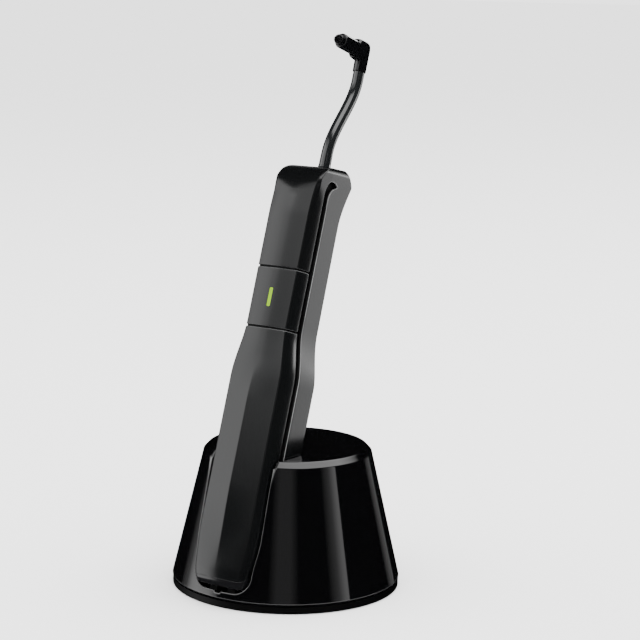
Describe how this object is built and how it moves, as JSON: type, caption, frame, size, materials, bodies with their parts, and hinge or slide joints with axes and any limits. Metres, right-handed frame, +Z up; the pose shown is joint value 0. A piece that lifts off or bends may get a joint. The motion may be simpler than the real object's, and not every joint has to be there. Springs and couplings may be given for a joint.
{
  "type": "electric toothbrush on charger",
  "caption": "Slim powered toothbrush with a bent neck and small brush barrel, leaning in the open front cradle of a conical charging stand.",
  "frame": {"origin": "on the table under the axis of the conical stand, at the centre of the plane of the feet", "axes": "+Z up along the stand's axis, -Y towards the open front of the cradle, +X to the right seen from the front"},
  "size_m": [0.09, 0.0954, 0.2151],
  "materials": {
    "stand_gloss": "high gloss",
    "plate_black": "matt",
    "foot_rubber": "matt",
    "ballast_steel": "rough",
    "screw_steel": "satin",
    "pad_rubber": "matt",
    "inlet_steel": "satin",
    "board_green": "solder mask",
    "chip_black": "moulded",
    "coil_copper": "enamelled wire",
    "ferrite_grey": "sintered",
    "frame_nylon": "moulded",
    "handset_satin": "satin",
    "cover_satin": "satin",
    "seal_black": "matt",
    "cap_gloss": "gloss",
    "cell_wrap": "shrink film",
    "tab_nickel": "bright",
    "window_green": "lit window",
    "motor_steel": "zinc plated",
    "shaft_steel": "ground",
    "bronze": "sintered",
    "lever_nylon": "moulded",
    "neck_gloss": "gloss",
    "head_gloss": "gloss",
    "bristle": "filament"
  },
  "bodies": {
    "stand": {"stand_shell": "stand_gloss", "floor_plate": "plate_black", "rubber_feet": "foot_rubber", "ballast_weight": "ballast_steel", "floor_screws": "screw_steel", "cradle_pads": "pad_rubber", "power_inlet": "inlet_steel", "charger_board": "board_green", "charger_chips": "chip_black", "transmitting_coil": "coil_copper", "transmitting_ferrite": "ferrite_grey", "coil_bracket": "frame_nylon"},
    "handset": {"rear_housing": "handset_satin", "grip_cover": "cover_satin", "cover_seal": "seal_black", "end_cap": "cap_gloss", "end_cap_seal": "seal_black", "end_cap_screws": "screw_steel", "chassis": "frame_nylon", "battery_cell": "cell_wrap", "battery_tabs": "tab_nickel", "receiving_coil": "coil_copper", "receiving_ferrite": "ferrite_grey", "control_board": "board_green", "controller_chips": "chip_black", "indicator_led": "window_green", "button_seal": "seal_black", "switch_body": "chip_black", "motor": "motor_steel", "motor_screws": "screw_steel", "lower_bush": "bronze", "upper_bush": "bronze", "shaft_seal": "seal_black"},
    "button": {"power_button": "cover_satin", "indicator_window": "window_green", "switch_plunger": "tab_nickel"},
    "rotor": {"motor_shaft": "shaft_steel", "crank": "bronze"},
    "drive": {"drive_lever": "lever_nylon", "drive_shaft": "shaft_steel"},
    "brush": {"brush_neck": "neck_gloss", "brush_head": "head_gloss", "tuft_cup": "head_gloss", "bristle_tuft": "bristle"}
  },
  "joints": [
    {"name": "handset_lift", "type": "slide", "parent": "stand", "child": "handset", "axis": [0, 0.3007, 0.9537], "range_m": [0, 0.12]},
    {"name": "button_press", "type": "slide", "parent": "handset", "child": "button", "axis": [0, 0.9537, -0.3007], "range_m": [0, 0.0005], "stiffness_N_per_m": 2000},
    {"name": "rotor_spin", "type": "hinge", "parent": "handset", "child": "rotor", "pos_m": [0, 0.00545, 0.13932], "axis": [0, 0.3007, 0.9537], "continuous": true},
    {"name": "shaft_swing", "type": "hinge", "parent": "handset", "child": "drive", "pos_m": [0, 0.01891, 0.15605], "axis": [0, 0.3007, 0.9537], "range_deg": [-4.5, 4.5]},
    {"name": "brush_pull", "type": "slide", "parent": "drive", "child": "brush", "axis": [0, 0.3007, 0.9537], "range_m": [0, 0.02]}
  ]
}
